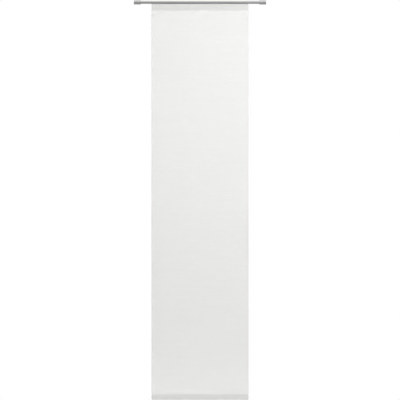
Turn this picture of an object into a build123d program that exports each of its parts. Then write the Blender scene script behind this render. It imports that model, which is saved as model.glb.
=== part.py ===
from build123d import *
from math import hypot, sqrt
import os

# A sheer white panel curtain, 60 cm wide and 245 cm long, that hangs flat from a short
# round curtain rod. The rod is an extruded tube with a track inside it and a slot along
# its underside. Four gliders run in the track. Each one reaches down through the slot and
# ends in a round bead, on which a flat extruded carrier hangs. The cloth is pressed onto
# the carrier's front with hook tape and loop tape, and a flat hollow bar in the tunnel of
# its bottom hem keeps it straight.
#
# The origin is on the rod's axis, halfway along it. X runs along the rod, the room is
# towards -Y and Z is up. All sizes are in millimetres.

# Rod
rod_diameter = 20.0
rod_length = 740.0
rod_wall = 1.4
slot_width = 5.6
slot_rounding = 0.5
track_drop = 6.8  # from the rod's axis down to the two ledges that the gliders run on
track_corner = 0.8

# Finials, turned, with three V-shaped grooves each
finial_diameter = 28.0
finial_length = 42.0
finial_edge = 0.5
groove_count = 3
groove_depth = 0.55  # half the groove's width as well
groove_pitch = 12.4
first_groove = 3.1  # from the finial's inner face
rod_seat_depth = 3.0
rod_seat_play = 0.1

# Plugs that join the finials to the rod
plug_in_rod = 22.0
plug_in_finial = 22.0
plug_radius = 8.0
plug_play = 0.15
plug_rib_count = 3
plug_rib_width = 1.6
plug_bore_radius = 4.5
plug_end_wall = 1.4
finial_bore_radius = 8.6
finial_bore_spare = 2.0

# Set screws
screw_radius = 2.0
screw_play = 0.05
screw_sunk = 0.7  # how far the finial's screw lies under its surface
hex_across_flats = 2.0
hex_depth = 2.4

# End stops, clamped in the track beside the plugs
stop_length = 10.0
stop_height = 5.0
stop_side_play = 0.5
stop_edge = 0.6
stop_screw_play = 0.1
stop_screw_sunk = 1.0  # how far the screw's socket lies above the rod's underside

# Gliders
glider_count = 4
glider_inset = 30.0  # from the cloth's side edge to the nearest glider
glider_length = 14.0
head_thickness = 3.0
head_side_play = 0.6
head_corner = 2.0
head_edge = 0.8
track_play = 0.2
neck_length = 8.0
neck_play = 0.6
neck_thickness = 1.6
bead_radius = 1.9
bead_length = 12.0

# Carrier, an extruded strip with a round channel along its top
rod_gap = 0.4  # between the rod's underside and the carrier's top
bead_play = 0.25
channel_wall = 1.1
channel_mouth = 2.9
carrier_height = 40.0
carrier_plate = 1.6
carrier_inset = 3.0  # from the cloth's side edge to the strip's end
carrier_rib_radius = 1.2
carrier_rib_count = 2
carrier_foot = 2.2
carrier_rounding = 0.3
cap_thickness = 2.0
cap_stub = 6.0
cap_stub_play = 0.2

# Hook tape on the carrier and loop tape on the cloth
tape_height = 30.0
tape_thickness = 1.0
tape_recess = 0.4
tape_play = 0.2
loop_tape_inset = 1.0

# Cloth
cloth_width = 600.0
cloth_drop = 2450.0
cloth_thickness = 0.5
cloth_lowering = 1.1  # from the carrier's top down to the cloth's
top_hem = 39.0
side_hem = 3.0
tunnel_slope = 2.6
tunnel_seam = 2.8

# Weight bar
bar_height = 30.0
bar_thickness = 4.0
bar_wall = 1.0
bar_play = 0.3
bar_inset = 4.0  # from the cloth's side edge to the end of the bar
bar_cap_head = 3.0
bar_cap_plug = 15.0
bar_cap_play = 0.1

# Levels and places that follow from the sizes above
rod_radius = rod_diameter / 2
bore_radius = rod_radius - rod_wall
ledge_reach = sqrt(bore_radius**2 - track_drop**2)
rod_end = rod_length / 2
finial_face = rod_end - rod_seat_depth
finial_radius = finial_diameter / 2
channel_radius = bead_radius + bead_play
channel_outside = channel_radius + channel_wall
bead_level = -(rod_radius + rod_gap + channel_outside)
carrier_top = -(rod_radius + rod_gap)
carrier_bottom = carrier_top - carrier_height
carrier_middle = (carrier_top + carrier_bottom) / 2
carrier_length = cloth_width - 2 * carrier_inset
carrier_front = -channel_outside
carrier_back = carrier_front + carrier_plate
tape_seat = carrier_front + tape_recess
hook_tape_front = tape_seat - tape_thickness
loop_tape_front = hook_tape_front - tape_thickness
cloth_front = loop_tape_front - 2 * cloth_thickness
cloth_back = cloth_front + cloth_thickness
cloth_top = carrier_top - cloth_lowering
cloth_bottom = cloth_top - cloth_drop
tunnel_depth = bar_thickness + 2 * bar_play
bar_level = cloth_bottom + cloth_thickness + bar_play  # the bar's lower edge
bar_middle = cloth_back + tunnel_depth / 2
bar_length = cloth_width - 2 * bar_inset
glider_pitch = (cloth_width - 2 * glider_inset) / (glider_count - 1)
stop_face = rod_end - plug_in_rod - stop_length
travel = stop_face - (cloth_width / 2 - glider_inset) - glider_length / 2

os.makedirs("parts", exist_ok=True)


def write(piece, label):
    """Labels a finished piece and writes it to a file of that name."""
    piece.part.label = label
    export_step(piece.part, f"parts/{label}.step")


def write_pair(piece, label):
    """Writes a piece of the right end, and its mirror image for the left end."""
    write(piece, f"{label}_right")
    with BuildPart() as opposite:
        mirror(piece.part, about=Plane.YZ)
    write(opposite, f"{label}_left")


# Rod: a round tube whose hollow has a flat floor, slotted down the middle
with BuildPart() as rod_tube:
    with BuildSketch(Plane.YZ):
        Circle(rod_radius)
    extrude(amount=rod_end, both=True)
    with BuildSketch(Plane.YZ) as track_section:
        Circle(bore_radius)
        with Locations((0, -track_drop)):
            Rectangle(
                rod_diameter,
                rod_diameter,
                align=(Align.CENTER, Align.MAX),
                mode=Mode.SUBTRACT,
            )
        fillet(track_section.vertices().group_by(Axis.Y)[0], track_corner)
    extrude(amount=rod_end, both=True, mode=Mode.SUBTRACT)
    with BuildSketch(Plane.YZ):
        Rectangle(slot_width, rod_diameter, align=(Align.CENTER, Align.MAX))
    extrude(amount=rod_end, both=True, mode=Mode.SUBTRACT)
    lip_edges = rod_tube.edges().filter_by(Axis.X).group_by(Axis.Z)[0]
    fillet(lip_edges, slot_rounding)
write(rod_tube, "rod_tube")

# Finial: a turned cylinder, bored for its plug and recessed for the rod's end
finial_screw_place = first_groove + groove_pitch / 2
with BuildPart() as finial:
    with BuildSketch(Plane.XY) as finial_section:
        with Locations((finial_face, 0)):
            Rectangle(finial_length, finial_radius, align=(Align.MIN, Align.MIN))
        chamfer(finial_section.vertices().group_by(Axis.Y)[-1], finial_edge)
        with Locations((finial_face + first_groove, finial_radius)):
            with GridLocations(groove_pitch, 1, groove_count, 1, align=(Align.MIN, Align.CENTER)):
                RegularPolygon(groove_depth, 4, mode=Mode.SUBTRACT)
    revolve(axis=Axis.X)
    with BuildSketch(Plane.YZ.offset(finial_face)):
        Circle(rod_radius + rod_seat_play)
    extrude(amount=rod_seat_depth, mode=Mode.SUBTRACT)
    with BuildSketch(Plane.YZ.offset(rod_end)):
        Circle(finial_bore_radius)
    extrude(amount=plug_in_finial + finial_bore_spare, mode=Mode.SUBTRACT)
    with BuildSketch(Plane.XZ):
        with Locations((finial_face + finial_screw_place, 0)):
            Circle(screw_radius + screw_play)
    extrude(amount=-finial_radius, mode=Mode.SUBTRACT)
write_pair(finial, "finial")

# Plug: a hollow moulding, round and ribbed in the finial, and flat-bottomed in the track
with BuildPart() as finial_plug:
    with BuildSketch(Plane.YZ.offset(rod_end)) as plug_section:
        Circle(plug_radius)
        with PolarLocations(0, plug_rib_count, start_angle=180 / plug_rib_count):
            Rectangle(
                finial_bore_radius - plug_play,
                plug_rib_width,
                align=(Align.MIN, Align.CENTER),
            )
    extrude(amount=plug_in_finial)
    with BuildSketch(Plane.YZ.offset(rod_end)) as spigot_section:
        Circle(bore_radius - plug_play)
        with Locations((0, -track_drop + plug_play)):
            Rectangle(
                rod_diameter,
                rod_diameter,
                align=(Align.CENTER, Align.MAX),
                mode=Mode.SUBTRACT,
            )
        fillet(spigot_section.vertices().group_by(Axis.Y)[0], track_corner)
    extrude(amount=-plug_in_rod)
    with BuildSketch(Plane.YZ.offset(rod_end - plug_in_rod)):
        Circle(plug_bore_radius)
    extrude(amount=plug_in_rod + plug_in_finial - plug_end_wall, mode=Mode.SUBTRACT)
write_pair(finial_plug, "finial_plug")

# Finial screw: a headless screw with a hexagon socket, let into the finial from behind
finial_screw_end = finial_radius - screw_sunk
with BuildPart() as finial_screw:
    with BuildSketch(Plane.XZ.offset(-plug_radius)):
        with Locations((finial_face + finial_screw_place, 0)):
            Circle(screw_radius)
    extrude(amount=-(finial_screw_end - plug_radius))
    with BuildSketch(Plane.XZ.offset(-finial_screw_end)):
        with Locations((finial_face + finial_screw_place, 0)):
            RegularPolygon(hex_across_flats / 2, 6, major_radius=False)
    extrude(amount=hex_depth, mode=Mode.SUBTRACT)
write_pair(finial_screw, "finial_screw")

# End stop: a block on the track's ledges, tapped for the screw that clamps it
stop_middle = stop_face + stop_length / 2
stop_width = 2 * (ledge_reach - stop_side_play)
with BuildPart() as end_stop:
    with BuildSketch(Plane.XY.offset(-track_drop)):
        with Locations((stop_middle, 0)):
            Rectangle(stop_length, stop_width)
    extrude(amount=stop_height)
    chamfer(end_stop.faces().sort_by(Axis.Z)[-1].edges(), stop_edge)
    with Locations((stop_middle, 0, -track_drop)):
        Hole(screw_radius + screw_play, depth=rod_diameter)
write_pair(end_stop, "end_stop")

# End stop's screw: turned from below through the slot, its end against the tube's roof
stop_screw_top = sqrt(bore_radius**2 - screw_radius**2) - stop_screw_play
stop_screw_foot = -rod_radius + stop_screw_sunk
with BuildPart() as end_stop_screw:
    with BuildSketch(Plane.XY.offset(stop_screw_foot)):
        with Locations((stop_middle, 0)):
            Circle(screw_radius)
    extrude(amount=stop_screw_top - stop_screw_foot)
    with BuildSketch(Plane.XY.offset(stop_screw_foot)):
        with Locations((stop_middle, 0)):
            RegularPolygon(hex_across_flats / 2, 6, major_radius=False)
    extrude(amount=hex_depth, mode=Mode.SUBTRACT)
write_pair(end_stop_screw, "end_stop_screw")

# Gliders: a broad head on the ledges, a neck through the slot and a bead below the rod
head_underside = -track_drop + track_play
head_width = 2 * (ledge_reach - head_side_play)
neck_half_width = slot_width / 2 - neck_play
taper_start = -bore_radius
taper_end = -(rod_radius + rod_gap / 2)
for number in range(glider_count):
    place = (number - (glider_count - 1) / 2) * glider_pitch
    with BuildPart() as glider:
        with BuildSketch(Plane.XY.offset(head_underside)) as head_outline:
            with Locations((place, 0)):
                Rectangle(glider_length, head_width)
            chamfer(head_outline.vertices(), head_corner)
        extrude(amount=head_thickness)
        chamfer(glider.faces().sort_by(Axis.Z)[-1].edges(), head_edge)
        with BuildSketch(Plane.YZ.offset(place)):
            with BuildLine():
                Polyline(
                    (-neck_half_width, head_underside + head_edge),
                    (-neck_half_width, taper_start),
                    (-neck_thickness / 2, taper_end),
                    (-neck_thickness / 2, bead_level),
                    (neck_thickness / 2, bead_level),
                    (neck_thickness / 2, taper_end),
                    (neck_half_width, taper_start),
                    (neck_half_width, head_underside + head_edge),
                    close=True,
                )
            make_face()
        extrude(amount=neck_length / 2, both=True)
        with BuildSketch(Plane.YZ.offset(place - bead_length / 2)):
            with Locations((0, bead_level)):
                Circle(bead_radius)
        extrude(amount=bead_length)
    write(glider, f"glider_{number + 1}")


def draw_carrier_outline():
    """Draws the carrier's section, with the channel filled, in the sketch being built."""
    with Locations((0, bead_level)):
        Circle(channel_outside)
    with Locations((carrier_front, carrier_top)):
        Rectangle(carrier_plate, carrier_height, align=(Align.MIN, Align.MAX))
    rib_pitch = carrier_height / (carrier_rib_count + 1)
    for step in range(carrier_rib_count):
        with Locations((carrier_back, carrier_middle - step * rib_pitch)):
            Circle(carrier_rib_radius)
    with Locations((carrier_back, carrier_bottom)):
        Rectangle(carrier_foot, carrier_plate, align=(Align.MIN, Align.MIN))


# Carrier: the strip, its channel with the mouth on top, and the recess for the hook tape
with BuildPart() as panel_carrier:
    with BuildSketch(Plane.YZ) as carrier_section:
        draw_carrier_outline()
        with Locations((0, bead_level)):
            Circle(channel_radius, mode=Mode.SUBTRACT)
            Rectangle(
                channel_mouth,
                2 * channel_outside,
                align=(Align.CENTER, Align.MIN),
                mode=Mode.SUBTRACT,
            )
        with Locations((carrier_front, carrier_middle)):
            Rectangle(
                tape_recess,
                tape_height + 2 * tape_play,
                align=(Align.MIN, Align.CENTER),
                mode=Mode.SUBTRACT,
            )
        foot_corners = carrier_section.vertices().group_by(Axis.Y)[0]
        fillet(foot_corners, carrier_rounding)
    extrude(amount=carrier_length / 2, both=True)
write(panel_carrier, "panel_carrier")

# Carrier cap: a thin end plate whose stub closes the channel, so that no glider slips out
with BuildPart() as carrier_cap:
    with BuildSketch(Plane.YZ.offset(carrier_length / 2)) as cap_section:
        draw_carrier_outline()
        fillet(cap_section.vertices().group_by(Axis.Y)[0], carrier_rounding)
    extrude(amount=cap_thickness)
    with BuildSketch(Plane.YZ.offset(carrier_length / 2)):
        with Locations((0, bead_level)):
            Circle(channel_radius - cap_stub_play)
    extrude(amount=-cap_stub)
write_pair(carrier_cap, "carrier_cap")

# Hook tape, glued into the carrier's recess
with BuildPart() as hook_tape:
    with Locations((0, tape_seat, carrier_middle)):
        Box(
            carrier_length,
            tape_thickness,
            tape_height,
            align=(Align.CENTER, Align.MAX, Align.CENTER),
        )
write(hook_tape, "hook_tape")

# Loop tape, sewn to the back of the cloth's top hem
with BuildPart() as loop_tape:
    with Locations((0, hook_tape_front, carrier_middle)):
        Box(
            cloth_width - 2 * loop_tape_inset,
            tape_thickness,
            tape_height,
            align=(Align.CENTER, Align.MAX, Align.CENTER),
        )
write(loop_tape, "loop_tape")

# Cloth: one sheet, folded back at the top, wrapped round the bar and sewn at the bottom
hem_back = cloth_back + cloth_thickness
hem_end = cloth_top - top_hem
tunnel_back = cloth_back + tunnel_depth
tunnel_curl = cloth_bottom + cloth_thickness + tunnel_depth / 2
tunnel_shoulder = bar_level + bar_height + bar_play
tunnel_apex = tunnel_shoulder + tunnel_slope
slope_shift = cloth_thickness * (hypot(tunnel_depth, tunnel_slope) - tunnel_slope) / tunnel_depth
seam_top = tunnel_apex + slope_shift + tunnel_seam
with BuildPart() as curtain_panel:
    with BuildSketch(Plane.YZ):
        with BuildLine():
            Line((cloth_front, tunnel_curl), (cloth_front, cloth_top - cloth_thickness))
            ThreePointArc(
                (cloth_front, cloth_top - cloth_thickness),
                (cloth_back, cloth_top),
                (hem_back, cloth_top - cloth_thickness),
            )
            Polyline(
                (hem_back, cloth_top - cloth_thickness),
                (hem_back, hem_end),
                (cloth_back, hem_end),
                (cloth_back, seam_top),
                (hem_back, seam_top),
                (hem_back, tunnel_apex + slope_shift),
                (tunnel_back + cloth_thickness, tunnel_shoulder + slope_shift),
                (tunnel_back + cloth_thickness, tunnel_curl),
            )
            ThreePointArc(
                (tunnel_back + cloth_thickness, tunnel_curl),
                (bar_middle, cloth_bottom),
                (cloth_front, tunnel_curl),
            )
        make_face()
        with BuildLine():
            Polyline(
                (cloth_back, tunnel_curl),
                (cloth_back, tunnel_apex),
                (tunnel_back, tunnel_shoulder),
                (tunnel_back, tunnel_curl),
            )
            ThreePointArc(
                (tunnel_back, tunnel_curl),
                (bar_middle, cloth_bottom + cloth_thickness),
                (cloth_back, tunnel_curl),
            )
        make_face(mode=Mode.SUBTRACT)
    extrude(amount=cloth_width / 2, both=True)
    with Locations((0, cloth_back, (hem_end + seam_top) / 2)):
        with GridLocations(cloth_width - side_hem, 1, 2, 1):
            Box(
                side_hem,
                cloth_thickness,
                hem_end - seam_top,
                align=(Align.CENTER, Align.MIN, Align.CENTER),
            )
write(curtain_panel, "curtain_panel")

# Weight bar: a flat hollow extrusion with round edges
with BuildPart() as weight_bar:
    with BuildSketch(Plane.YZ):
        with Locations((bar_middle, bar_level + bar_height / 2)):
            SlotOverall(bar_height, bar_thickness, rotation=90)
            SlotOverall(
                bar_height - 2 * bar_wall,
                bar_thickness - 2 * bar_wall,
                rotation=90,
                mode=Mode.SUBTRACT,
            )
    extrude(amount=bar_length / 2, both=True)
write(weight_bar, "weight_bar")

# Weight bar's caps: a head with the bar's outline and a tongue that fits inside it
with BuildPart() as weight_bar_cap:
    with BuildSketch(Plane.YZ.offset(bar_length / 2)):
        with Locations((bar_middle, bar_level + bar_height / 2)):
            SlotOverall(bar_height, bar_thickness, rotation=90)
    extrude(amount=bar_cap_head)
    with BuildSketch(Plane.YZ.offset(bar_length / 2)):
        with Locations((bar_middle, bar_level + bar_height / 2)):
            SlotOverall(
                bar_height - 2 * (bar_wall + bar_cap_play),
                bar_thickness - 2 * (bar_wall + bar_cap_play),
                rotation=90,
            )
    extrude(amount=-bar_cap_plug)
write_pair(weight_bar_cap, "weight_bar_cap")

print("travel each way:", round(travel, 2))
print("bead level:", round(bead_level, 3), "cloth front:", round(cloth_front, 3))
print("cloth top and bottom:", round(cloth_top, 3), round(cloth_bottom, 3))
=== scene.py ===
# %% [markdown]
# # A sheer panel curtain on a short round rod
#
# The object is a flat, see-through curtain, 60 cm wide and 245 cm long. It hangs from a
# round aluminium rod on four gliders. The cloth is pressed onto a slim carrier with hook
# tape, and a flat bar in its bottom hem keeps it straight.
#
# The rod, the gliders, the carrier and the bar are already in the frame as solid parts,
# and get their finishes here. The cloth and its two tapes are soft, so they are built here
# from scratch, with hems, stitches, tufts and the thick yarns of the weave.

# %% Load the frame
import math
import random

import bmesh
import bpy
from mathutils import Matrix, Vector


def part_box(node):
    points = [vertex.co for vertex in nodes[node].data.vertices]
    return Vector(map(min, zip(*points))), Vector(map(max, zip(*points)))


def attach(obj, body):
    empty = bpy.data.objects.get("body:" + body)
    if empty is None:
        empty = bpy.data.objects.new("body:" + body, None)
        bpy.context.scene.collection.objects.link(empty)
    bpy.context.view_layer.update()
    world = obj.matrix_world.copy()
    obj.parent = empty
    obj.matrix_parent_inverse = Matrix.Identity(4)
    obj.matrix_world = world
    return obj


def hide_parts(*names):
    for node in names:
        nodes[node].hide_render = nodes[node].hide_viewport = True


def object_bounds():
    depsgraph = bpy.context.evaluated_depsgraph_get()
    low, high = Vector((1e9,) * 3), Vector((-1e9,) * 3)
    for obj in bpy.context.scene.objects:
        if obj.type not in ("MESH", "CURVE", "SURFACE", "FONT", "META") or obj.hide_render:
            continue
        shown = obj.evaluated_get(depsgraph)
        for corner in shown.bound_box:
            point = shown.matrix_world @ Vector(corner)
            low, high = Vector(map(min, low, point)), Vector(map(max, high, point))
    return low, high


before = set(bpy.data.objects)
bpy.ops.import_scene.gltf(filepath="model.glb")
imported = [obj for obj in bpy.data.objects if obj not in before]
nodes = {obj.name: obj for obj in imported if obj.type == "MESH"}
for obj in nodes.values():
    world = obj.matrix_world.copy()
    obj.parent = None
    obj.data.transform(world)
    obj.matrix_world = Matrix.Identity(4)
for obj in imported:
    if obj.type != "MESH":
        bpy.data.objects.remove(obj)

solid_low, solid_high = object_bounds()
print("the solid parts reach from", tuple(round(v, 4) for v in solid_low))
print("to", tuple(round(v, 4) for v in solid_high))

# %% [markdown]
# ## The levels that the cloth is built to
#
# A sewn cloth follows what it is fixed to. So the places of its folds aren't typed in
# here. They are read from the boxes of the solid cloth, the tape and the bar, and only
# what a box can't tell, such as the depth of a hem, is written down as a size.

# %% Read the levels
cloth_low, cloth_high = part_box("curtain_panel")
bar_low, bar_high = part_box("weight_bar")
tape_low, tape_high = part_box("loop_tape")

CLOTH = 0.0005          # room that one layer of cloth takes
SHEET = 0.00045         # thickness of the cloth itself
TOP_HEM = 0.039
SIDE_HEM = 0.002
BAR_PLAY = 0.0003       # room between the bar and its tunnel
TUNNEL_SLOPE = 0.0026   # height over which the tunnel's back runs to the front
TUNNEL_SEAM = 0.0028    # height of the edge that is sewn down above it

half_width = cloth_high.x
top = cloth_high.z
bottom = cloth_low.z
front = cloth_low.y
print("cloth", round(2 * half_width, 4), "m wide and", round(top - bottom, 4), "m long")

# %% [markdown]
# ## The line of the fold, seen from the side
#
# Cut through from the side, the whole curtain is one line: up the back of the top hem,
# over the top edge, down the front, round the bar and up again to the seam that shuts the
# tunnel. A solid block could be carved to that shape, but one line that is swept along
# the width gives even cloth that is as thick in its folds as elsewhere.

# %% Find where the line turns
front_layer = front + CLOTH / 2
back_layer = front_layer + CLOTH
hem_end = top - TOP_HEM
tunnel_radius = (bar_high.y - bar_low.y) / 2 + BAR_PLAY + CLOTH / 2
curl_middle = Vector(((bar_low.y + bar_high.y) / 2, bottom + CLOTH / 2 + tunnel_radius))
tunnel_back = curl_middle.x + tunnel_radius
shoulder = bar_high.z + 2 * BAR_PLAY
apex = shoulder + TUNNEL_SLOPE
seam_top = apex + TUNNEL_SEAM
print("the top hem ends at", round(hem_end, 4), "m")
print("the tunnel's seam lies between", round(apex, 4), "and", round(seam_top, 4), "m")

# %% Helpers for even steps


def steps(start, end, longest):
    """Numbers from start to end, no further apart than longest."""
    count = max(1, math.ceil(abs(end - start) / longest))
    return [start + (end - start) * n / count for n in range(count + 1)]


def eased(share):
    """Turns an even step from 0 to 1 into one that starts and ends gently."""
    share = min(1, max(0, share))
    return share * share * (3 - 2 * share)


def propped(start, end, longest, prop=0.0006):
    """Steps with a short one at each end, so that smooth shading bends only there."""
    inward = prop if end > start else -prop
    return [start, *steps(start + inward, end - inward, longest), end]


# %% Draw the fold
HEM_STEP = 0.007        # the longest step between two points, in the top hem
FREE_STEP = 0.010       # the same in the free part
TUNNEL_STEP = 0.006     # and in the tunnel

fold = [(back_layer, z) for z in propped(hem_end, top - CLOTH, HEM_STEP)]
back_top = len(fold) - 1
for turn in steps(0, math.pi, math.pi / 6)[1:]:
    fold.append((
        front_layer + CLOTH / 2 + CLOTH / 2 * math.cos(turn),
        top - CLOTH + CLOTH / 2 * math.sin(turn),
    ))
front_top = len(fold) - 1
fold += [(front_layer, z) for z in propped(top - CLOTH, hem_end, HEM_STEP)[1:]]
front_start = len(fold) - 1
fold += [(front_layer, z) for z in steps(hem_end, seam_top, FREE_STEP)[1:]]
front_end = len(fold) - 1
fold += [(front_layer, z) for z in propped(seam_top, curl_middle.y, TUNNEL_STEP)[1:]]
for turn in steps(math.pi, 2 * math.pi, math.pi / 14)[1:]:
    fold.append((
        curl_middle.x + tunnel_radius * math.cos(turn),
        curl_middle.y + tunnel_radius * math.sin(turn),
    ))
fold += [(tunnel_back, z) for z in propped(curl_middle.y, shoulder, TUNNEL_STEP)[1:]]
for z in steps(shoulder, apex, CLOTH)[1:]:
    share = eased((z - shoulder) / (apex - shoulder))
    fold.append((tunnel_back + (back_layer - tunnel_back) * share, z))
fold += [(back_layer, z) for z in steps(apex, seam_top, TUNNEL_SEAM / 2)[1:]]

# %% [markdown]
# ## How the cloth hangs between carrier and bar
#
# The carrier and the bar hold the cloth flat at both ends. Between them a real panel is
# never quite a plane: it bellies by a millimetre or so, and its side edges turn back a
# little where the turned hem pulls. A cloth simulation would take minutes to find almost
# nothing, so one smooth formula moves the points instead. It fades to nothing at both
# ends, where the cloth is held.

# %% The hang
BELLY = 0.0009          # how far the broad belly stands out or in
WAVE = 0.0005           # a smaller wave on top of it
EDGE_PULL = 0.0016      # how far the side edges turn back


def hang(x, z):
    """How far the cloth stands back from its plane at a place, in metres."""
    free = (z - seam_top) / (hem_end - seam_top)
    if not 0 < free < 1:
        return 0.0
    held = math.sin(math.pi * free) ** 0.75
    across = x / half_width
    belly = BELLY * math.sin(2.1 * across + 3.3 * free + 0.6)
    wave = WAVE * math.sin(5.2 * across - 4.1 * free + 1.9)
    edge = EDGE_PULL * abs(across) ** 9
    return held * (belly + wave + edge)


print("the middle stands back by", round(hang(0, (top + bottom) / 2) * 1000, 2), "mm")

# %% [markdown]
# ## The cloth
#
# The points of the fold are repeated across the width, and neighbours are joined by
# four-sided faces. Both sides of the free part are turned back by 2 mm, as a narrow hem,
# and the sides of the top hem are closed by the same tight turn. Close to each edge lies
# an extra column of points. Without it, smooth shading would spread the bend of the edge
# over the next wide face, and darken it. The sheet is a single layer of faces, and a
# Solidify modifier then gives it the thickness of real cloth.

# %% Build the sheet
COLUMN_STEP = 0.012
WIDEN_OVER = 0.006      # below the seam, the tunnel reaches its full width over this height

turn_radius = CLOTH / 2
inner_edge = half_width - turn_radius - SHEET / 2
columns = propped(-inner_edge, inner_edge, COLUMN_STEP)

mesh = bmesh.new()
rows = []
for place, (y, z) in enumerate(fold):
    widened = 1.0
    if place > front_end:
        widened += (half_width / inner_edge - 1) * eased((seam_top - z) / WIDEN_OVER)
    rows.append([mesh.verts.new((x * widened, y + hang(x, z), z)) for x in columns])
for upper, lower in zip(rows, rows[1:]):
    for n in range(len(columns) - 1):
        mesh.faces.new((upper[n], lower[n], lower[n + 1], upper[n + 1]))
print("the sheet has", len(rows), "rows of", len(columns), "points")

# %% Turn the sides
FLAP_STEP = 0.0015

bend = [
    (turn_radius * math.sin(turn), turn_radius * (1 - math.cos(turn)))
    for turn in steps(0, math.pi, math.pi / 4)[1:-1]
]
flap_steps = propped(0, SIDE_HEM - turn_radius, FLAP_STEP)
flap = [(-step, 2 * turn_radius) for step in flap_steps]
hem_flap = flap[:1]     # in the top hem the turn only meets the edge of the back layer

for side, edge_column in ((-1, 0), (1, len(columns) - 1)):
    previous = None
    for place in range(front_top, front_end + 1):
        z = fold[place][1]
        line = [rows[place][edge_column]]
        for out, back in bend + (hem_flap if place < front_start else flap):
            x = columns[edge_column] + side * out
            line.append(mesh.verts.new((x, front_layer + back + hang(x, z), z)))
        if previous:
            for n in range(min(len(previous), len(line)) - 1):
                corners = (previous[n], line[n], line[n + 1], previous[n + 1])
                mesh.faces.new(corners if side > 0 else corners[::-1])
        else:
            over_the_top = [rows[n][edge_column] for n in range(back_top, front_top)]
            corners = line[:-1] + over_the_top
            mesh.faces.new(corners if side > 0 else corners[::-1])
        previous = line
before = len(mesh.verts)
bmesh.ops.remove_doubles(mesh, verts=mesh.verts, dist=0.00001)
print("the side hems are", SIDE_HEM * 1000, "mm wide")
print(before - len(mesh.verts), "points were joined at the back of the top hem")

# %% Give it its thickness
cloth_mesh = bpy.data.meshes.new("sheer_cloth")
mesh.to_mesh(cloth_mesh)
mesh.free()
cloth_mesh.shade_smooth()
cloth = bpy.data.objects.new("sheer_cloth", cloth_mesh)
bpy.context.scene.collection.objects.link(cloth)
thickness = cloth.modifiers.new("cloth thickness", "SOLIDIFY")
thickness.thickness = SHEET
thickness.offset = 0.0
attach(cloth, "panel")
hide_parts("curtain_panel")
print("cloth faces:", len(cloth_mesh.polygons))

# %% [markdown]
# ## Small pieces in large numbers
#
# Stitches and thick yarns are all the same thing: a short, rounded strand that is thin at
# its ends. One helper adds such a strand to a mesh, between two points, so a whole seam is
# one object. Hundreds of separate objects would look the same and be far slower.

# %% A helper for strands


def add_strand(mesh, start, end, width, height, rings, sides, bow=Vector((0, 0, 0))):
    """Adds a spindle from start to end, whose middle is pushed out by bow."""
    along = (end - start).normalized()
    across = along.cross(Vector((0, 1, 0))).normalized()
    out = across.cross(along).normalized()
    loops = []
    for ring in range(1, rings):
        share = ring / rings
        fullness = math.sin(math.pi * share) ** 0.6
        centre = start.lerp(end, share) + bow * math.sin(math.pi * share)
        loop = []
        for n in range(sides):
            turn = 2 * math.pi * n / sides
            loop.append(mesh.verts.new(
                centre
                + across * (width / 2 * fullness * math.cos(turn))
                + out * (height / 2 * fullness * math.sin(turn))
            ))
        loops.append(loop)
    for place, loop, flip in ((start, loops[0], False), (end, loops[-1], True)):
        tip = mesh.verts.new(place)
        for n in range(sides):
            corners = (tip, loop[n], loop[(n + 1) % sides])
            mesh.faces.new(corners[::-1] if flip else corners)
    for a, b in zip(loops, loops[1:]):
        for n in range(sides):
            m = (n + 1) % sides
            mesh.faces.new((a[n], b[n], b[m], a[m]))


def make_piece(mesh, name):
    """Turns a finished mesh into a named piece that moves with the panel."""
    bmesh.ops.recalc_face_normals(mesh, faces=mesh.faces)
    data = bpy.data.meshes.new(name)
    mesh.to_mesh(data)
    mesh.free()
    data.shade_smooth()
    piece = bpy.data.objects.new(name, data)
    bpy.context.scene.collection.objects.link(piece)
    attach(piece, "panel")
    print(name, "has", len(data.polygons), "faces")
    return piece


# %% [markdown]
# ## The two tapes
#
# Hook tape is stuck to the carrier, loop tape is sewn to the hem, and the two grip each
# other. Each is a woven ground with a pile on one side. A smooth block with a bumpy
# finish would show a straight, hard edge at the sides of the curtain. So the pile is
# modelled, as a chequer of small tufts, and the woven edges are a little thinner.

# %% Weave the tapes
TUFT_PITCH = 0.0014
PILE_DEPTH = 0.00035
EDGE_DROP = 0.00015


def weave_tape(name, node, pile_behind):
    """Builds a tape in the box of its node, with the pile on its back or on its front."""
    low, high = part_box(node)
    ground, tips = (low.y, high.y) if pile_behind else (high.y, low.y)
    inward = 1 if ground > tips else -1
    across = steps(low.x, high.x, TUFT_PITCH)
    up = steps(low.z, high.z, TUFT_PITCH)
    last_row, last_column = len(up) - 1, len(across) - 1
    mesh = bmesh.new()
    flat, tufted = [], []
    for row, z in enumerate(up):
        flat.append([])
        tufted.append([])
        for column, x in enumerate(across):
            drop = EDGE_DROP if row in (0, last_row) or column in (0, last_column) else 0
            dip = PILE_DEPTH if (row + column) % 2 else 0
            flat[-1].append(mesh.verts.new((x, ground - inward * drop, z)))
            tufted[-1].append(mesh.verts.new((x, tips + inward * max(drop, dip), z)))
    for face in (flat, tufted):
        for lower, upper in zip(face, face[1:]):
            for n in range(last_column):
                mesh.faces.new((lower[n], lower[n + 1], upper[n + 1], upper[n]))
    rim = [(0, n) for n in range(last_column)]
    rim += [(n, last_column) for n in range(last_row)]
    rim += [(last_row, n) for n in range(last_column, 0, -1)]
    rim += [(n, 0) for n in range(last_row, 0, -1)]
    for (a, b), (c, d) in zip(rim, rim[1:] + rim[:1]):
        mesh.faces.new((flat[a][b], flat[c][d], tufted[c][d], tufted[a][b]))
    piece = make_piece(mesh, name)
    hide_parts(node)
    return piece


hook_tape = weave_tape("hook_tape_woven", "hook_tape", pile_behind=False)
loop_tape = weave_tape("loop_tape_woven", "loop_tape", pile_behind=True)

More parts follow.
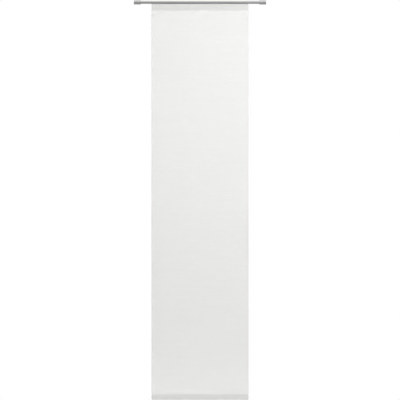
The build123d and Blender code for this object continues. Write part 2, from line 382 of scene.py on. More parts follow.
# %% [markdown]
# ## The stitches
#
# Two rows of lockstitch hold the loop tape on the top hem, one row shuts the tunnel, and
# one row runs down each side hem. Thread is round and bows out of the cloth between two
# needle holes, on the front as on the back, so each stitch is a short strand with a slight
# bow, 3 mm long, or 3.6 mm down the sides.

# %% A helper for seams
STITCH = 0.003
SIDE_STITCH = 0.0036
THREAD = 0.00028
HOLE = 0.12             # share of a stitch that is hidden at each needle hole
SUNK = 0.3              # how deep its ends lie in the cloth, in threads
BOWED = 0.45            # how far its middle bows out, in threads


def sew(mesh, start, end, front_y, back_y, length=STITCH):
    """Sews a straight row of stitches on both faces of the cloth, between two (x, z) places."""
    run = math.dist(start, end)
    count = round(run / length)
    for n in range(count):
        a, b = (n + HOLE) / count, (n + 1 - HOLE) / count
        for y, outward in ((front_y, -1), (back_y, 1)):
            ends = []
            for share in (a, b):
                x = start[0] + (end[0] - start[0]) * share
                z = start[1] + (end[1] - start[1]) * share
                ends.append(Vector((x, y + hang(x, z) - outward * THREAD * SUNK, z)))
            bow = Vector((0, outward * THREAD * BOWED, 0))
            add_strand(mesh, ends[0], ends[1], THREAD, THREAD, 4, 5, bow)


# %% Sew the seams
FROM_THE_SIDE = 0.002
IN_THE_TAPE = 0.0015
front_face = front_layer - SHEET / 2
hem_face = back_layer + SHEET / 2
seam_reach = half_width - FROM_THE_SIDE

top_seams = bmesh.new()
for z in (tape_high.z - IN_THE_TAPE, tape_low.z + IN_THE_TAPE):
    sew(top_seams, (-seam_reach, z), (seam_reach, z), front_face, tape_high.y)
top_stitches = make_piece(top_seams, "stitches_top")

line = (apex + seam_top) / 2
tunnel_seams = bmesh.new()
sew(tunnel_seams, (-seam_reach, line), (seam_reach, line), front_face, hem_face)
tunnel_stitches = make_piece(tunnel_seams, "stitches_tunnel")

side_seams = bmesh.new()
for side in (-1, 1):
    x = side * (half_width - SIDE_HEM / 2)
    start, end = (x, hem_end - FROM_THE_SIDE), (x, seam_top + FROM_THE_SIDE)
    sew(side_seams, start, end, front_face, hem_face, SIDE_STITCH)
side_stitches = make_piece(side_seams, "stitches_sides")

# %% [markdown]
# ## The slubs
#
# Sheer cloth of this kind is woven with uneven weft: here and there a yarn swells to
# twice its thickness for a few centimetres, which shows as short, fine streaks that lie
# level. They catch the light and stand out of both faces, so they are real strands inside
# the cloth, and not only a pattern in its colour. They are strewn at random, but from a
# fixed seed, so that the curtain comes out the same each time.

# %% Weave in the slubs
SLUBS = 1100
SLUB_LENGTHS = (0.012, 0.02, 0.03, 0.045, 0.07)
SLUB_THICKNESS = (0.00052, 0.00072)     # more than the cloth has, so that they stand out
CLEAR_OF_SEAMS = 0.003
CLEAR_OF_HEMS = 0.002
SLANT = 0.0004          # how far an end may lie above or below the middle
WANDER = 0.0003         # how far the middle may bow up or down

random.seed(2450)
slub_mesh = bmesh.new()
for n in range(SLUBS):
    length = random.choice(SLUB_LENGTHS) * random.uniform(0.8, 1.25)
    reach = half_width - SIDE_HEM - length / 2 - CLEAR_OF_HEMS
    x = random.uniform(-reach, reach)
    z = random.uniform(seam_top + CLEAR_OF_SEAMS, hem_end - CLEAR_OF_SEAMS)
    drift = random.uniform(-SLANT, SLANT)
    ends = []
    for side in (-1, 1):
        end_x, end_z = x + side * length / 2, z + side * drift
        ends.append(Vector((end_x, front_layer + hang(end_x, end_z), end_z)))
    middle = front_layer + hang(x, z) - (ends[0].y + ends[1].y) / 2
    bow = Vector((0, middle, random.uniform(-WANDER, WANDER)))
    thick = random.uniform(*SLUB_THICKNESS)
    add_strand(slub_mesh, ends[0], ends[1], thick * 1.15, thick, 6, 5, bow)
slubs = make_piece(slub_mesh, "slub_yarns")

# %% [markdown]
# ## Shader helpers
#
# A material is a small network of nodes. A few helpers keep the recipes below readable:
# they add a node and set its values, join two sockets, start a group or a material, and
# make the three small things that nearly every finish needs, which are two tones of a
# colour, an uneven gloss and a relief. Everything is driven by object coordinates in
# metres, so a size that is written in a recipe is a real size.

# %% Helpers that add and join nodes


def add_node(tree, kind, **values):
    """Adds a node. Names with a space in them are given with an underscore."""
    node = tree.nodes.new(kind)
    for name, value in values.items():
        socket = name.replace("_", " ")
        if socket in node.inputs:
            node.inputs[socket].default_value = value
        else:
            setattr(node, name, value)
    return node


def link(tree, source, target):
    """Joins an output socket to an input socket."""
    tree.links.new(source, target)


# %% Helpers that start a group or a material


def new_group(name, inputs, outputs):
    """Starts a node group whose sockets are numbers. Returns its tree and two end nodes."""
    tree = bpy.data.node_groups.new(name, "ShaderNodeTree")
    for label, default in inputs.items():
        socket = tree.interface.new_socket(label, in_out="INPUT", socket_type="NodeSocketFloat")
        socket.default_value = default
    for label in outputs:
        tree.interface.new_socket(label, in_out="OUTPUT", socket_type="NodeSocketFloat")
    return tree, tree.nodes.new("NodeGroupInput"), tree.nodes.new("NodeGroupOutput")


def place_group(tree, group, **values):
    """Places a group in a material with its own values."""
    node = tree.nodes.new("ShaderNodeGroup")
    node.node_tree = group
    for name, value in values.items():
        node.inputs[name.replace("_", " ")].default_value = value
    return node


def new_material(name, base_color, roughness, metallic=0.0):
    """Starts a material and returns it with its tree and its Principled node."""
    material = bpy.data.materials.new(name)
    material.use_nodes = True
    shader = material.node_tree.nodes["Principled BSDF"]
    shader.inputs["Base Color"].default_value = (*base_color, 1)
    shader.inputs["Roughness"].default_value = roughness
    shader.inputs["Metallic"].default_value = metallic
    return material, material.node_tree, shader


# %% Helpers for tone, gloss and relief


def two_tones(tree, color, at_zero, at_one, mask):
    """Blends between two shades of a colour, and returns the blended socket."""
    tone = add_node(tree, "ShaderNodeMix", data_type="RGBA")
    tone.inputs["A"].default_value = (*(min(1, c * at_zero) for c in color), 1)
    tone.inputs["B"].default_value = (*(min(1, c * at_one) for c in color), 1)
    link(tree, mask, tone.inputs["Factor"])
    return tone.outputs["Result"]


def spread(tree, low, high, mask):
    """Turns a mask from 0 to 1 into values from low to high, and returns their socket."""
    node = add_node(tree, "ShaderNodeMapRange")
    node.inputs["To Min"].default_value = low
    node.inputs["To Max"].default_value = high
    link(tree, mask, node.inputs["Value"])
    return node.outputs["Result"]


def emboss(tree, shader, height, strength, distance):
    """Lets a height tilt the light on the surface, by up to distance in metres."""
    bump = add_node(tree, "ShaderNodeBump", Strength=strength, Distance=distance)
    link(tree, height, bump.inputs["Height"])
    link(tree, bump.outputs["Normal"], shader.inputs["Normal"])


# %% [markdown]
# ## Effect: fine lines
#
# Extruded tube carries faint lines along its length, and turned ends carry rings, because
# a tool or a die leaves its marks in the direction it moves. Both are the same effect: a
# noise that is stretched very far in one direction. The group takes the three scales, so
# the direction is chosen where it's used.

# %% Build the fine lines group
lines_group, ends_in, ends_out = new_group(
    "fine lines",
    {"Scale X": 1.0, "Scale Y": 1.0, "Scale Z": 1.0, "Contrast": 0.5},
    ("Mask", "Height"),
)
place = add_node(lines_group, "ShaderNodeTexCoord")
scales = add_node(lines_group, "ShaderNodeCombineXYZ")
stretched = add_node(lines_group, "ShaderNodeVectorMath", operation="MULTIPLY")
noise = add_node(lines_group, "ShaderNodeTexNoise", Scale=1.0, Detail=4.0, Roughness=0.65)
level = add_node(lines_group, "ShaderNodeMath", operation="SUBTRACT")
level.inputs[1].default_value = 0.5
gain = add_node(lines_group, "ShaderNodeMath", operation="MULTIPLY")
centre = add_node(lines_group, "ShaderNodeMath", operation="ADD", use_clamp=True)
centre.inputs[1].default_value = 0.5
for axis in "XYZ":
    link(lines_group, ends_in.outputs[f"Scale {axis}"], scales.inputs[axis])
link(lines_group, place.outputs["Object"], stretched.inputs[0])
link(lines_group, scales.outputs["Vector"], stretched.inputs[1])
link(lines_group, stretched.outputs["Vector"], noise.inputs["Vector"])
link(lines_group, noise.outputs["Fac"], level.inputs[0])
link(lines_group, level.outputs["Value"], gain.inputs[0])
link(lines_group, ends_in.outputs["Contrast"], gain.inputs[1])
link(lines_group, gain.outputs["Value"], centre.inputs[0])
link(lines_group, centre.outputs["Value"], ends_out.inputs["Mask"])
link(lines_group, noise.outputs["Fac"], ends_out.inputs["Height"])
print("group:", lines_group.name)

# %% [markdown]
# ## Effect: dust and handling
#
# Nothing in a room is evenly clean. Dust settles on faces that look up, and hands leave
# broad, soft patches that are a little rougher. The group gives one mask for the dust,
# from the direction that a face looks in, and one for the patches, from a large noise.

# %% Build the dust group
dust_group, ends_in, ends_out = new_group(
    "dust and handling",
    {"Patch Scale": 30.0},
    ("Dust", "Patches"),
)
place = add_node(dust_group, "ShaderNodeTexCoord")
face = add_node(dust_group, "ShaderNodeNewGeometry")
facing = add_node(dust_group, "ShaderNodeSeparateXYZ")
upward = add_node(dust_group, "ShaderNodeMapRange")
upward.inputs["From Min"].default_value = 0.55
upward.inputs["From Max"].default_value = 1.0
specks = add_node(dust_group, "ShaderNodeTexNoise", Scale=900.0, Detail=3.0)
strewn = add_node(dust_group, "ShaderNodeMath", operation="MULTIPLY")
patches = add_node(dust_group, "ShaderNodeTexNoise", Detail=2.0)
link(dust_group, face.outputs["Normal"], facing.inputs["Vector"])
link(dust_group, facing.outputs["Z"], upward.inputs["Value"])
link(dust_group, place.outputs["Object"], specks.inputs["Vector"])
link(dust_group, upward.outputs["Result"], strewn.inputs[0])
link(dust_group, specks.outputs["Fac"], strewn.inputs[1])
link(dust_group, place.outputs["Object"], patches.inputs["Vector"])
link(dust_group, ends_in.outputs["Patch Scale"], patches.inputs["Scale"])
link(dust_group, strewn.outputs["Value"], ends_out.inputs["Dust"])
link(dust_group, patches.outputs["Fac"], ends_out.inputs["Patches"])
print("group:", dust_group.name)

# %% [markdown]
# ## Finish: satin aluminium
#
# The rod and its ends are anodised aluminium with a satin finish: it mirrors the room, but
# softly. Metal has no colour of its own besides what it mirrors, so the base colour is a
# plain light grey, and all the life comes from the roughness. The lines run along the rod,
# and round and round on the turned ends. The carrier and the bar are made by the same
# recipe, a little paler and duller.

# %% Make the aluminium finishes
DUST_COLOR = (0.80, 0.79, 0.77, 1)
ANODISED = (0.66, 0.66, 0.66)
ALONG_THE_ROD = (6, 2200, 2200)
ROUND_THE_ENDS = (2600, 12, 12)
ALONG_THE_STRIPS = (5, 1500, 1500)


def aluminium(name, color, roughness, scales, line_depth):
    """Satin metal with fine lines, soft patches and a trace of dust on top."""
    material, tree, shader = new_material(name, color, roughness, metallic=1.0)
    x, y, z = scales
    lines = place_group(tree, lines_group, Scale_X=x, Scale_Y=y, Scale_Z=z, Contrast=1.6)
    dust = place_group(tree, dust_group, Patch_Scale=40.0)
    dusty = add_node(tree, "ShaderNodeMix", data_type="RGBA")
    dusty.inputs["B"].default_value = DUST_COLOR
    faint = add_node(tree, "ShaderNodeMath", operation="MULTIPLY")
    faint.inputs[1].default_value = 0.10
    link(tree, dust.outputs["Dust"], faint.inputs[0])
    link(tree, faint.outputs["Value"], dusty.inputs["Factor"])
    link(tree, two_tones(tree, color, 0.96, 1.03, lines.outputs["Mask"]), dusty.inputs["A"])
    link(tree, dusty.outputs["Result"], shader.inputs["Base Color"])
    gloss = spread(tree, roughness - 0.06, roughness + 0.08, dust.outputs["Patches"])
    link(tree, gloss, shader.inputs["Roughness"])
    emboss(tree, shader, lines.outputs["Height"], 0.35, line_depth)
    print("material:", name)
    return material


rod_finish = aluminium("satin aluminium tube", ANODISED, 0.30, ALONG_THE_ROD, 0.00002)
finial_finish = aluminium("satin aluminium turned", ANODISED, 0.30, ROUND_THE_ENDS, 0.00003)
carrier_finish = aluminium(
    "plain aluminium carrier", (0.82, 0.82, 0.82), 0.36, ALONG_THE_STRIPS, 0.00002
)
bar_finish = aluminium(
    "plain aluminium bar", (0.78, 0.78, 0.78), 0.38, ALONG_THE_STRIPS, 0.00002
)

# %% [markdown]
# ## Finish: moulded plastic
#
# Gliders, stops and caps are injection moulded. Such plastic has a fine, even grain from
# the steel mould, is slightly uneven in gloss, and gathers a little dust. Nylon gliders
# are glossier than the caps, because they have to slide.

# %% Make the plastic finishes


def moulded(name, color, roughness, grain):
    """Injection moulded plastic with a mould grain and uneven gloss."""
    material, tree, shader = new_material(name, color, roughness)
    dust = place_group(tree, dust_group, Patch_Scale=120.0)
    place = add_node(tree, "ShaderNodeTexCoord")
    grains = add_node(tree, "ShaderNodeTexVoronoi", Scale=2600.0)
    link(tree, place.outputs["Object"], grains.inputs["Vector"])
    emboss(tree, shader, grains.outputs["Distance"], 0.4, grain)
    patches = dust.outputs["Patches"]
    link(tree, two_tones(tree, color, 0.95, 1.04, patches), shader.inputs["Base Color"])
    gloss = spread(tree, roughness - 0.05, roughness + 0.10, patches)
    link(tree, gloss, shader.inputs["Roughness"])
    print("material:", name)
    return material


glider_finish = moulded("white nylon glider", (0.84, 0.84, 0.82), 0.28, 0.00001)
stop_finish = moulded("white plastic stop", (0.76, 0.76, 0.74), 0.45, 0.00002)
cap_finish = moulded("white plastic cap", (0.80, 0.80, 0.78), 0.42, 0.00002)
plug_finish = moulded("black plastic plug", (0.06, 0.06, 0.065), 0.5, 0.00002)

# %% [markdown]
# ## Finish: zinc plated steel
#
# The small set screws are steel with a thin coat of zinc, which is duller and a little
# cloudy, with darker patches where a key has turned in the socket.

# %% Make the screw finish
ZINC = (0.42, 0.42, 0.43)
screw_finish, tree, shader = new_material("zinc plated steel", ZINC, 0.35, metallic=1.0)
place = add_node(tree, "ShaderNodeTexCoord")
clouds = add_node(tree, "ShaderNodeTexNoise", Scale=1400.0, Detail=5.0)
tone = add_node(tree, "ShaderNodeMix", data_type="RGBA")
tone.inputs["A"].default_value = (0.32, 0.32, 0.33, 1)
tone.inputs["B"].default_value = (0.52, 0.52, 0.52, 1)
link(tree, place.outputs["Object"], clouds.inputs["Vector"])
link(tree, clouds.outputs["Fac"], tone.inputs["Factor"])
link(tree, tone.outputs["Result"], shader.inputs["Base Color"])
link(tree, spread(tree, 0.25, 0.5, clouds.outputs["Fac"]), shader.inputs["Roughness"])
print("material:", screw_finish.name)

# %% [markdown]
# ## Effect: plain weave
#
# The cloth and both tapes are woven, each at its own pitch. In a plain weave the yarns
# pass over and under each other in turn, which makes a chequer of small cushions with a
# gap at each corner. Two sine waves at right angles, one for the warp and one for the
# weft, give both: the higher of the two is the height of the yarns, and where both are low
# there is a gap.

# %% Build the weave group
weave_group, ends_in, ends_out = new_group(
    "plain weave",
    {"Pitch X": 0.0006, "Pitch Z": 0.0006, "Unevenness": 0.3},
    ("Height", "Gap"),
)
place = add_node(weave_group, "ShaderNodeTexCoord")
wander = add_node(weave_group, "ShaderNodeTexNoise", Scale=160.0, Detail=2.0)
off = add_node(weave_group, "ShaderNodeMath", operation="SUBTRACT")
off.inputs[1].default_value = 0.5
bent = add_node(weave_group, "ShaderNodeMath", operation="MULTIPLY")
apart = add_node(weave_group, "ShaderNodeSeparateXYZ")
link(weave_group, place.outputs["Object"], wander.inputs["Vector"])
link(weave_group, wander.outputs["Fac"], off.inputs[0])
link(weave_group, off.outputs["Value"], bent.inputs[0])
link(weave_group, ends_in.outputs["Unevenness"], bent.inputs[1])
link(weave_group, place.outputs["Object"], apart.inputs["Vector"])
waves = []
for axis in "XZ":
    count = add_node(weave_group, "ShaderNodeMath", operation="DIVIDE")
    shifted = add_node(weave_group, "ShaderNodeMath", operation="ADD")
    angle = add_node(weave_group, "ShaderNodeMath", operation="MULTIPLY")
    angle.inputs[1].default_value = 2 * math.pi
    wave = add_node(weave_group, "ShaderNodeMath", operation="SINE")
    half = add_node(weave_group, "ShaderNodeMath", operation="MULTIPLY_ADD")
    half.inputs[1].default_value = 0.5
    half.inputs[2].default_value = 0.5
    link(weave_group, apart.outputs[axis], count.inputs[0])
    link(weave_group, ends_in.outputs[f"Pitch {axis}"], count.inputs[1])
    link(weave_group, count.outputs["Value"], shifted.inputs[0])
    link(weave_group, bent.outputs["Value"], shifted.inputs[1])
    link(weave_group, shifted.outputs["Value"], angle.inputs[0])
    link(weave_group, angle.outputs["Value"], wave.inputs[0])
    link(weave_group, wave.outputs["Value"], half.inputs[0])
    waves.append(half)
raised = add_node(weave_group, "ShaderNodeMath", operation="MAXIMUM")
opening = add_node(weave_group, "ShaderNodeMath", operation="SUBTRACT", use_clamp=True)
opening.inputs[0].default_value = 1.0
link(weave_group, waves[0].outputs["Value"], raised.inputs[0])
link(weave_group, waves[1].outputs["Value"], raised.inputs[1])
link(weave_group, raised.outputs["Value"], opening.inputs[1])
link(weave_group, raised.outputs["Value"], ends_out.inputs["Height"])
link(weave_group, opening.outputs["Value"], ends_out.inputs["Gap"])
print("group:", weave_group.name)

# %% [markdown]
# ## Finish: the sheer cloth
#
# Light does three things at such a cloth. Part of it goes straight through between the
# yarns, which Alpha gives. Part of it soaks into the yarns and comes out on the other
# side, which Subsurface gives, and which makes the cloth brighter where nothing is behind
# it than over the carrier and the bar. The rest is thrown back, soft and almost without
# shine. Uneven weft shows as level streaks, a few centimetres long, both in the tone and
# in how see-through the cloth is.

# %% Make the cloth finish
CLOTH_COLOR = (0.89, 0.89, 0.877)
THINNEST, DENSEST = 0.715, 0.74     # how much of a place is yarn and not gap
cloth_finish, tree, shader = new_material("sheer cloth", CLOTH_COLOR, 0.85)
weave = place_group(tree, weave_group, Pitch_X=0.00062, Pitch_Z=0.00074, Unevenness=0.5)
streaks = place_group(
    tree, lines_group, Scale_X=14.0, Scale_Y=14.0, Scale_Z=420.0, Contrast=1.8
)
bands = place_group(tree, lines_group, Scale_X=2.5, Scale_Y=2.5, Scale_Z=60.0, Contrast=1.6)

tones = two_tones(tree, CLOTH_COLOR, 0.984, 1.015, streaks.outputs["Mask"])
link(tree, tones, shader.inputs["Base Color"])

open_weave = add_node(tree, "ShaderNodeMath", operation="MULTIPLY_ADD", use_clamp=True)
open_weave.inputs[1].default_value = -0.12
link(tree, weave.outputs["Gap"], open_weave.inputs[0])
link(tree, spread(tree, THINNEST, DENSEST, bands.outputs["Mask"]), open_weave.inputs[2])
link(tree, open_weave.outputs["Value"], shader.inputs["Alpha"])

relief = add_node(tree, "ShaderNodeMath", operation="MULTIPLY_ADD")
relief.inputs[1].default_value = 0.6
link(tree, streaks.outputs["Mask"], relief.inputs[0])
link(tree, weave.outputs["Height"], relief.inputs[2])
emboss(tree, shader, relief.outputs["Value"], 0.5, 0.00008)

shader.inputs["Subsurface Weight"].default_value = 1.0
shader.inputs["Subsurface Radius"].default_value = (1.0, 1.0, 1.0)
shader.inputs["Subsurface Scale"].default_value = 0.00011
shader.inputs["Specular IOR Level"].default_value = 0.25
print("material:", cloth_finish.name)

# %% [markdown]
# ## Finish: sewing thread and slub yarn
#
# Thread is twisted, so it shows fine slanting ribs, and polyester thread has a slight
# shine. The slubs are the cloth's own yarn, untwisted and duller, and light soaks through
# them as through the cloth. Neither has gaps, because no light passes straight through a
# yarn. In both, the colour is darker in the low parts of the ribs, which is painted shade.

# %% Make the yarn finishes


def yarn(name, color, roughness, twist, soak=0.0):
    """A spun yarn with slanting ribs. Light soaks into it by about soak, in metres."""
    material, tree, shader = new_material(name, color, roughness)
    place = add_node(tree, "ShaderNodeTexCoord")
    slant = add_node(tree, "ShaderNodeMapping")
    slant.inputs["Rotation"].default_value = (0, math.radians(35), 0)
    ribs = add_node(tree, "ShaderNodeTexWave", Scale=twist, Distortion=1.5, Detail=2.0)
    link(tree, place.outputs["Object"], slant.inputs["Vector"])
    link(tree, slant.outputs["Vector"], ribs.inputs["Vector"])
    # painted shade: the colour is darker in the low parts of the ribs
    tones = two_tones(tree, color, 0.93, 1.04, ribs.outputs["Fac"])
    link(tree, tones, shader.inputs["Base Color"])
    emboss(tree, shader, ribs.outputs["Fac"], 0.5, 0.00003)
    if soak:
        shader.inputs["Subsurface Weight"].default_value = 1.0
        shader.inputs["Subsurface Radius"].default_value = (1.0, 1.0, 1.0)
        shader.inputs["Subsurface Scale"].default_value = soak
    print("material:", name)
    return material


thread_finish = yarn("white sewing thread", (0.85, 0.85, 0.84), 0.5, 900.0)
slub_finish = yarn("slub yarn", (0.88, 0.88, 0.865), 0.85, 500.0, soak=0.0003)

# %% [markdown]
# ## Finish: hook tape and loop tape
#
# Both tapes are woven nylon: stiff little hooks in rows on one, a fuzz of loops on the
# other. The tufts are already in the mesh. The yarns of the ground and the fuzz on each
# tuft are far smaller, and a relief in the material gives them. Shade is painted into the
# gaps between the yarns: the colour is darker there.

# %% Make the tape finishes


def tape(name, color, pitch, pile):
    """Woven nylon with a fuzz of small bumps and painted shade in the gaps of its weave."""
    material, tree, shader = new_material(name, color, 0.75)
    weave = place_group(tree, weave_group, Pitch_X=pitch, Pitch_Z=pitch, Unevenness=0.2)
    place = add_node(tree, "ShaderNodeTexCoord")
    tufts = add_node(tree, "ShaderNodeTexVoronoi", Scale=pile)
    link(tree, place.outputs["Object"], tufts.inputs["Vector"])
    relief = add_node(tree, "ShaderNodeMath", operation="MULTIPLY_ADD")
    relief.inputs[1].default_value = 0.5
    link(tree, tufts.outputs["Distance"], relief.inputs[0])
    link(tree, weave.outputs["Height"], relief.inputs[2])
    emboss(tree, shader, relief.outputs["Value"], 0.8, 0.0002)
    # painted shade: the colour is darker in the gaps between the yarns of the weave
    tones = two_tones(tree, color, 1.03, 0.88, weave.outputs["Gap"])
    link(tree, tones, shader.inputs["Base Color"])
    shader.inputs["Sheen Weight"].default_value = 0.2
    print("material:", name)
    return material


hook_finish = tape("hook tape", (0.86, 0.86, 0.84), 0.0014, 900.0)
loop_finish = tape("loop tape", (0.94, 0.94, 0.925), 0.0011, 1500.0)

# %% [markdown]
# ## Dress the parts
#
# Each part gets the finish that its slot in the record stands for. The solid parts keep
# their shapes, and only their material slots are filled.

# %% Put the finishes on
finishes = {
    "rod_tube": rod_finish,
    "finial": finial_finish,
    "finial_plug": plug_finish,
    "finial_screw": screw_finish,
    "end_stop": stop_finish,
    "end_stop_screw": screw_finish,
    "glider": glider_finish,
    "panel_carrier": carrier_finish,
    "carrier_cap": cap_finish,
    "weight_bar": bar_finish,
    "weight_bar_cap": cap_finish,
}


def dress(piece, finish):
    """Leaves a piece with one material."""
    piece.data.materials.clear()
    piece.data.materials.append(finish)


dressed = 0
for name, part in nodes.items():
    kind = name
    for ending in ("_left", "_right", "_1", "_2", "_3", "_4"):
        kind = kind.removesuffix(ending)
    if kind in finishes:
        dress(part, finishes[kind])
        dressed += 1
dress(cloth, cloth_finish)
dress(slubs, slub_finish)
dress(hook_tape, hook_finish)
dress(loop_tape, loop_finish)
for piece in (top_stitches, tunnel_stitches, side_stitches):
    dress(piece, thread_finish)
print("dressed", dressed, "solid parts and 7 soft pieces")

# %% [markdown]
# ## The floor
#
# The curtain ends 4 cm above the floor, as it usually does. The floor is a plain pale
# disc. Its own colour is pale grey, and away from the curtain it turns to a light of its
# own that only the camera, mirrors and glass see, at the strength of white. So it melts
# into the white background, but close to the curtain it still takes its shadow.

# %% Lay the floor
FLOOR_RADIUS = 0.6
HEM_TO_FLOOR = 0.040
floor_level = bottom - HEM_TO_FLOOR
mesh = bmesh.new()
bmesh.ops.create_circle(mesh, cap_ends=True, segments=96, radius=FLOOR_RADIUS)
floor_mesh = bpy.data.meshes.new("floor")
mesh.to_mesh(floor_mesh)
mesh.free()
floor = bpy.data.objects.new("floor", floor_mesh)
floor.location.z = floor_level
bpy.context.scene.collection.objects.link(floor)
print("floor at", round(floor_level, 3), "m")

# %% Make the floor's finish
PALE_FLOOR = (0.66, 0.66, 0.66)
NARROWED = (0.5, 1, 1)              # makes the grey patch twice as long as it is deep
GREY_TO, WHITE_FROM = 0.10, 0.26    # distances from the curtain, front to back

floor_finish, tree, shader = new_material("pale floor", PALE_FLOOR, 0.9)
shader.inputs["Specular IOR Level"].default_value = 0.1
place = add_node(tree, "ShaderNodeTexCoord")
narrowed = add_node(tree, "ShaderNodeVectorMath", operation="MULTIPLY")
narrowed.inputs[1].default_value = NARROWED
distance = add_node(tree, "ShaderNodeVectorMath", operation="LENGTH")
rim = add_node(tree, "ShaderNodeMapRange", interpolation_type="SMOOTHSTEP")
rim.inputs["From Min"].default_value = GREY_TO
rim.inputs["From Max"].default_value = WHITE_FROM
path = add_node(tree, "ShaderNodeLightPath")
sees = add_node(tree, "ShaderNodeMath", operation="MAXIMUM")
sees_too = add_node(tree, "ShaderNodeMath", operation="MAXIMUM")
share = add_node(tree, "ShaderNodeMath", operation="MULTIPLY")
white = add_node(tree, "ShaderNodeEmission", Strength=1.0)
blend = add_node(tree, "ShaderNodeMixShader")
output = tree.nodes["Material Output"]
link(tree, place.outputs["Object"], narrowed.inputs[0])
link(tree, narrowed.outputs["Vector"], distance.inputs[0])
link(tree, distance.outputs["Value"], rim.inputs["Value"])
link(tree, path.outputs["Is Camera Ray"], sees.inputs[0])
link(tree, path.outputs["Is Glossy Ray"], sees.inputs[1])
link(tree, sees.outputs["Value"], sees_too.inputs[0])
link(tree, path.outputs["Is Transmission Ray"], sees_too.inputs[1])
link(tree, sees_too.outputs["Value"], share.inputs[0])
link(tree, rim.outputs["Result"], share.inputs[1])
link(tree, share.outputs["Value"], blend.inputs["Fac"])
link(tree, shader.outputs["BSDF"], blend.inputs[1])
link(tree, white.outputs["Emission"], blend.inputs[2])
link(tree, blend.outputs["Shader"], output.inputs["Surface"])
floor.data.materials.append(floor_finish)
print("material:", floor_finish.name)

# %% [markdown]
# ## The soft light all round
#
# The light of a large, pale studio comes from the world itself. It is brighter above than
# below, as under a pale ceiling, and that alone already gives the cloth its even tone.

# %% Light the studio
LIGHT_BELOW = 0.39
LIGHT_ABOVE = 0.86
world = bpy.data.worlds.new("studio")
bpy.context.scene.world = world
world.use_nodes = True
tree = world.node_tree
ambient = tree.nodes["Background"]
ambient.inputs["Strength"].default_value = 1.0
place = add_node(tree, "ShaderNodeTexCoord")
facing = add_node(tree, "ShaderNodeSeparateXYZ")
height = add_node(tree, "ShaderNodeMapRange", interpolation_type="SMOOTHSTEP")
height.inputs["From Min"].default_value = -0.10
height.inputs["From Max"].default_value = 0.60
studio = add_node(tree, "ShaderNodeMix", data_type="RGBA")
studio.inputs["A"].default_value = (LIGHT_BELOW, LIGHT_BELOW, LIGHT_BELOW, 1)
studio.inputs["B"].default_value = (LIGHT_ABOVE, LIGHT_ABOVE, LIGHT_ABOVE, 1)
link(tree, place.outputs["Generated"], facing.inputs["Vector"])
link(tree, facing.outputs["Z"], height.inputs["Value"])
link(tree, height.outputs["Result"], studio.inputs["Factor"])
link(tree, studio.outputs["Result"], ambient.inputs["Color"])
print("the studio is lit from", LIGHT_BELOW, "below to", LIGHT_ABOVE, "above")

# %% [markdown]
# ## The white backdrop
#
# The camera has to see plain white all round. Metal has to show that white too, where it
# mirrors what is behind and above the curtain, but not where it mirrors the lower front of
# the studio: there a rod shows the dimmer floor, which gives it its mid-grey underside. So
# rays that come off metal, or through glass, see the backdrop only as far as they point
# up and back.

# %% Hang the backdrop
UP_AND_BACK = (0, 0.51, 0.86)

white_card = add_node(tree, "ShaderNodeBackground", Strength=1.0)
white_card.inputs["Color"].default_value = (1, 1, 1, 1)
towards_card = add_node(tree, "ShaderNodeVectorMath", operation="DOT_PRODUCT")
towards_card.inputs[1].default_value = UP_AND_BACK
card = add_node(tree, "ShaderNodeMapRange", interpolation_type="SMOOTHSTEP")
card.inputs["From Min"].default_value = -0.15
card.inputs["From Max"].default_value = 0.65
path = add_node(tree, "ShaderNodeLightPath")
bounced = add_node(tree, "ShaderNodeMath", operation="MAXIMUM")
mirrored = add_node(tree, "ShaderNodeMath", operation="MULTIPLY")
seen = add_node(tree, "ShaderNodeMath", operation="MAXIMUM")
blend = add_node(tree, "ShaderNodeMixShader")
link(tree, place.outputs["Generated"], towards_card.inputs[0])
link(tree, towards_card.outputs["Value"], card.inputs["Value"])
link(tree, path.outputs["Is Glossy Ray"], bounced.inputs[0])
link(tree, path.outputs["Is Transmission Ray"], bounced.inputs[1])
link(tree, bounced.outputs["Value"], mirrored.inputs[0])
link(tree, card.outputs["Result"], mirrored.inputs[1])
link(tree, path.outputs["Is Camera Ray"], seen.inputs[0])
link(tree, mirrored.outputs["Value"], seen.inputs[1])
link(tree, seen.outputs["Value"], blend.inputs["Fac"])
link(tree, ambient.outputs["Background"], blend.inputs[1])
link(tree, white_card.outputs["Background"], blend.inputs[2])
link(tree, blend.outputs["Shader"], tree.nodes["World Output"].inputs["Surface"])
print("backdrop strength:", white_card.inputs["Strength"].default_value)

# %% [markdown]
# ## The lamps
#
# A large, soft lamp at the upper right makes the cloth a little brighter there than at the
# lower left. Its twin behind the curtain does the same for the back, as a lamp in front
# alone would leave that side grey. Metal doesn't mirror these two: a softbox has hard
# edges, and they would show as stripes on the rod. The third, small and close, is for the
# right end of the rod.

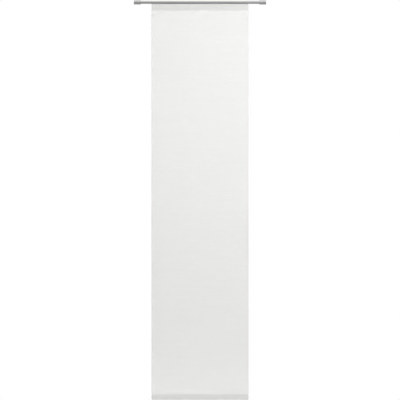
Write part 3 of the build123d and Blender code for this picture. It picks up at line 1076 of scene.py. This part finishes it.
# %% Hang the lamps


def add_lamp(name, place, target, width, height, power):
    """A rectangular soft lamp that looks at a point."""
    data = bpy.data.lights.new(name, "AREA")
    data.shape = "RECTANGLE"
    data.size = width
    data.size_y = height
    data.energy = power
    lamp = bpy.data.objects.new(name, data)
    lamp.location = place
    lamp.rotation_euler = (Vector(target) - Vector(place)).to_track_quat("-Z", "Y").to_euler()
    bpy.context.scene.collection.objects.link(lamp)
    return lamp


ON_THE_CLOTH = (0, 0, -1.05)
ON_THE_ROD = (0.35, 0, 0)

key = add_lamp("key softbox", (0.75, -3.2, -0.25), ON_THE_CLOTH, 1.6, 2.6, 55)
back = add_lamp("back softbox", (-0.75, 3.2, -0.25), ON_THE_CLOTH, 1.6, 2.6, 52)
for lamp in (key, back):
    lamp.visible_glossy = False
add_lamp("side softbox", (1.1, -1.5, 0.3), ON_THE_ROD, 1.2, 1.2, 4.8)

# %% [markdown]
# ## The camera
#
# The picture is taken straight on, from half the curtain's height, so that its edges stay
# upright and parallel. Two of the things that a viewer sees tell how far away the camera
# is: no light shows between rod and carrier, as it would from very far away, and the
# sides of the rod's ends are hidden. A long lens at eight and a half metres gives both.
# The frame is as high as the curtain: its upper edge touches the tops of the rod's ends,
# and its lower edge is at the hem.

# %% Place the camera
FRAME_HEIGHT = 400 * 0.00619    # 400 pixels of 6.19 mm
SENSOR = 0.036
AWAY = 8.5

rod_top = solid_high.z
camera_data = bpy.data.cameras.new("camera")
camera_data.type = "PERSP"
camera_data.sensor_width = SENSOR * 1000
camera_data.lens = SENSOR * 1000 * AWAY / FRAME_HEIGHT
camera_data.clip_start = 0.5
camera_data.clip_end = 200.0
camera = bpy.data.objects.new("camera", camera_data)
camera.location = (0, -AWAY, rod_top - FRAME_HEIGHT / 2)
camera.rotation_euler = (math.pi / 2, 0, 0)
bpy.context.scene.collection.objects.link(camera)
bpy.context.scene.camera = camera
bpy.context.scene.view_settings.view_transform = "Standard"
print("lens", round(camera_data.lens), "mm at", AWAY, "m")
